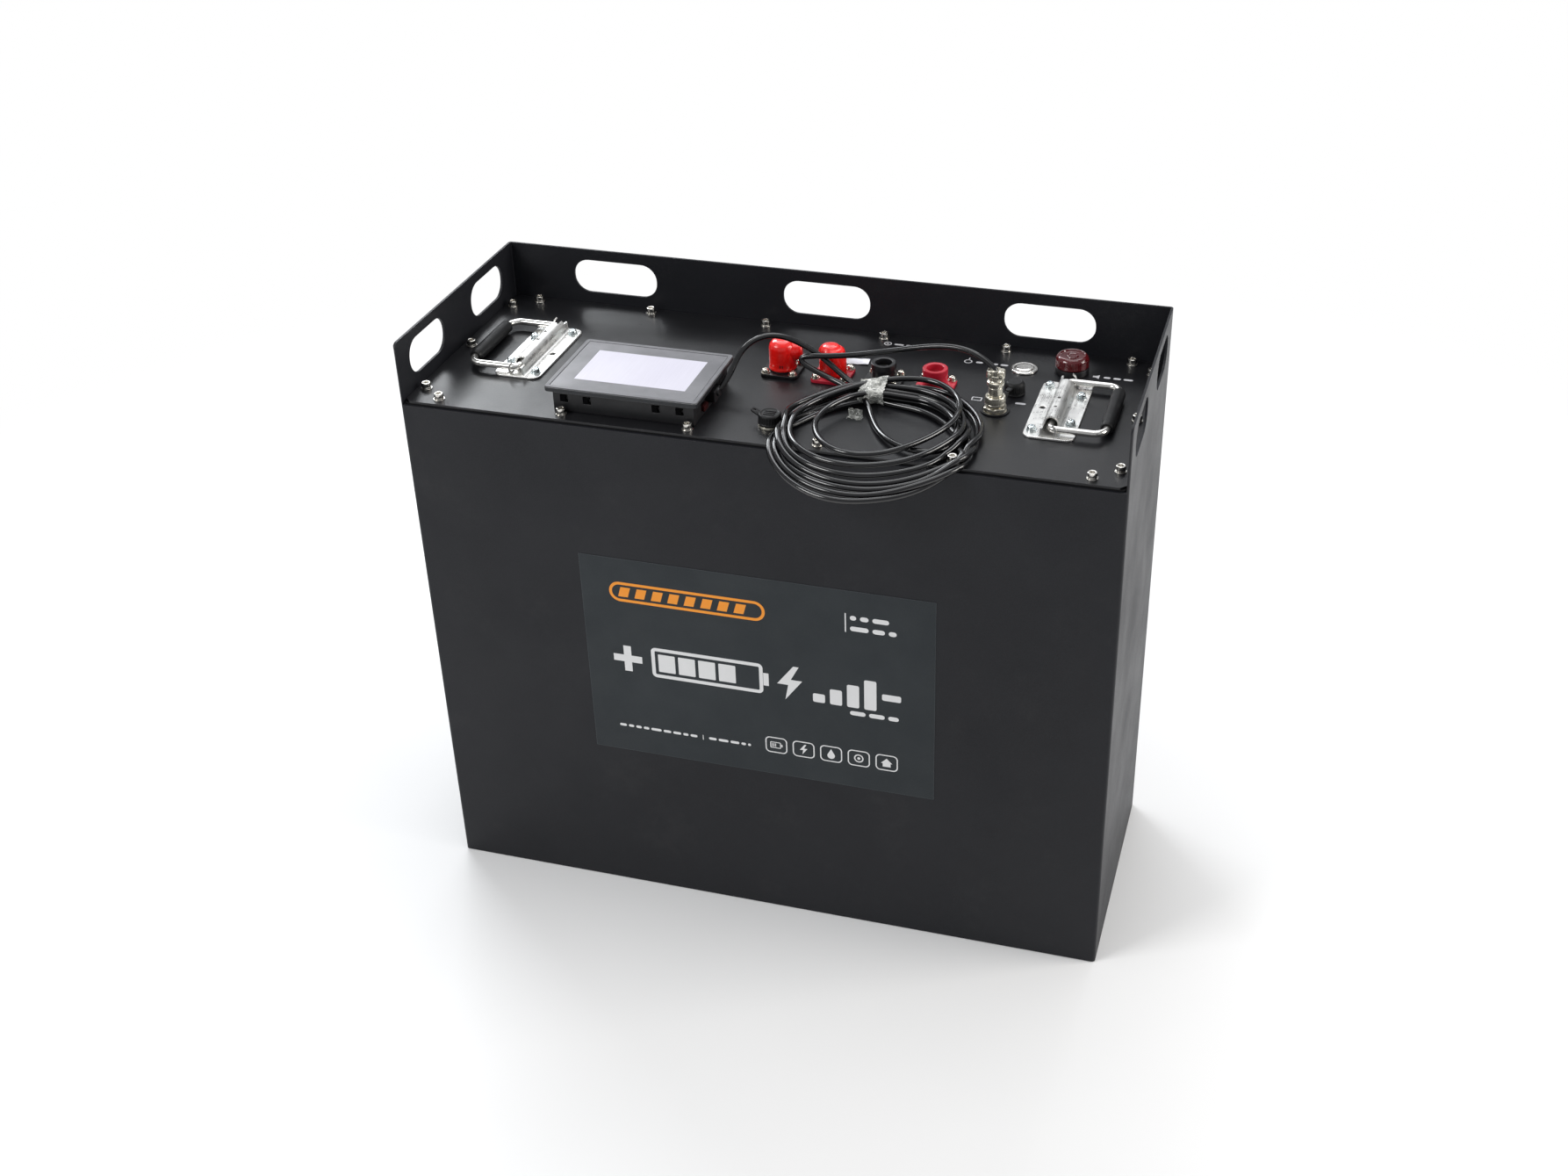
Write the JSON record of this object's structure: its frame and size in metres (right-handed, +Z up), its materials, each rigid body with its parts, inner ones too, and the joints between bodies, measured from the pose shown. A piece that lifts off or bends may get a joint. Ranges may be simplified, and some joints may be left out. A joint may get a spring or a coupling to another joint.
{
  "type": "deep cycle battery",
  "caption": "Tall steel-cased lithium deep cycle battery with a recessed top deck holding a touch display, folding handles, power sockets, switch, buzzer and a coiled display lead.",
  "frame": {"origin": "centre of the tray's underside, on the floor", "axes": "+X to the right along the front wall, -Y out of the front wall that carries the label, +Z up"},
  "size_m": [0.624, 0.2825, 0.5445],
  "materials": {
    "powder_coat": "fine-textured black powder coat, satin",
    "black_rubber": "matt moulded rubber",
    "label_film": "slate grey satin film with white and orange print",
    "black_plastic": "fine moulded texture",
    "grey_plastic": "satin moulded",
    "screen": "gloss touch panel, lit pale lavender",
    "zinc_plate": "bright zinc plate, slightly dulled",
    "chrome_rod": "polished plated rod",
    "spring_steel": "bright spring wire",
    "red_plastic": "moulded, faded pinkish red",
    "red_rubber": "bright red soft moulding, slight sheen",
    "red_lens": "deep red translucent lens",
    "stainless": "bright stainless",
    "nickel": "warm nickel plate",
    "cable_jacket": "semi-gloss cable jacket",
    "clear_tape": "crinkled clear film",
    "raw_steel": "primed steel plate",
    "cell_case": "blue-sleeved aluminium cells",
    "copper": "tinned copper bar",
    "alloy_case": "cast alloy, matt",
    "red_lead": "silicone lead",
    "black_lead": "silicone lead"
  },
  "bodies": {
    "battery_case": {"tray": "powder_coat", "lid_plate": "powder_coat", "lid_gasket": "black_rubber", "front_label": "label_film", "display_housing": "black_plastic", "display_bezel": "grey_plastic", "display_screen": "screen", "left_handle_plate": "zinc_plate", "right_handle_plate": "zinc_plate", "left_handle_spring": "spring_steel", "right_handle_spring": "spring_steel", "power_socket_1": "black_plastic", "power_socket_2": "red_plastic", "power_socket_3": "black_plastic", "power_socket_4": "red_plastic", "buzzer_base": "black_plastic", "buzzer_lens": "red_lens", "switch_body": "stainless", "display_socket": "nickel", "display_plug": "nickel", "display_dust_cap": "black_rubber", "comm_port": "nickel", "display_cable": "cable_jacket", "cable_tape": "clear_tape", "lid_screw_front_1": "stainless", "lid_screw_front_2": "stainless", "lid_screw_front_3": "stainless", "lid_screw_front_4": "stainless", "lid_screw_front_5": "stainless", "lid_screw_front_6": "stainless", "lid_screw_back_1": "stainless", "lid_screw_back_2": "stainless", "lid_screw_back_3": "stainless", "lid_screw_back_4": "stainless", "lid_screw_back_5": "stainless", "lid_screw_back_6": "stainless", "lid_screw_left_1": "stainless", "lid_screw_left_2": "stainless", "lid_screw_left_3": "stainless", "lid_screw_right_1": "stainless", "lid_screw_right_2": "stainless", "lid_screw_right_3": "stainless", "ballast_block": "raw_steel", "cell_module_left": "cell_case", "cell_module_right": "cell_case", "module_busbar": "copper", "electronics_shelf": "raw_steel", "bms_unit": "alloy_case", "main_fuse": "black_plastic", "positive_lead": "red_lead", "negative_lead": "black_lead"},
    "left_handle": {"left_handle_bail": "chrome_rod", "left_handle_grip": "black_rubber"},
    "right_handle": {"right_handle_bail": "chrome_rod", "right_handle_grip": "black_rubber"},
    "switch_button": {"switch_button": "stainless"},
    "plug_ring": {"display_plug_ring": "nickel"},
    "socket_1_cap": {"socket_1_cap": "red_rubber"},
    "socket_2_cap": {"socket_2_cap": "red_rubber"},
    "comm_port_cap": {"comm_port_cap": "black_rubber"}
  },
  "joints": [
    {"name": "left_handle_fold", "type": "hinge", "parent": "battery_case", "child": "left_handle", "pos_m": [-0.235, 0, 0.4985], "axis": [0, 1, 0], "range_deg": [0, 90]},
    {"name": "right_handle_fold", "type": "hinge", "parent": "battery_case", "child": "right_handle", "pos_m": [0.235, 0, 0.4985], "axis": [0, -1, 0], "range_deg": [0, 90]},
    {"name": "switch_press", "type": "slide", "parent": "battery_case", "child": "switch_button", "axis": [0, 0, -1], "range_m": [0, 0.002]},
    {"name": "plug_ring_spin", "type": "hinge", "parent": "battery_case", "child": "plug_ring", "pos_m": [0.183, -0.0105, 0.5], "axis": [0, 0, 1], "continuous": true},
    {"name": "socket_1_cap_lift", "type": "slide", "parent": "battery_case", "child": "socket_1_cap", "axis": [0, 0, 1], "range_m": [0, 0.04]},
    {"name": "socket_2_cap_lift", "type": "slide", "parent": "battery_case", "child": "socket_2_cap", "axis": [0, 0, 1], "range_m": [0, 0.04]},
    {"name": "comm_port_cap_lift", "type": "slide", "parent": "battery_case", "child": "comm_port_cap", "axis": [0, 0, 1], "range_m": [0, 0.025]}
  ]
}
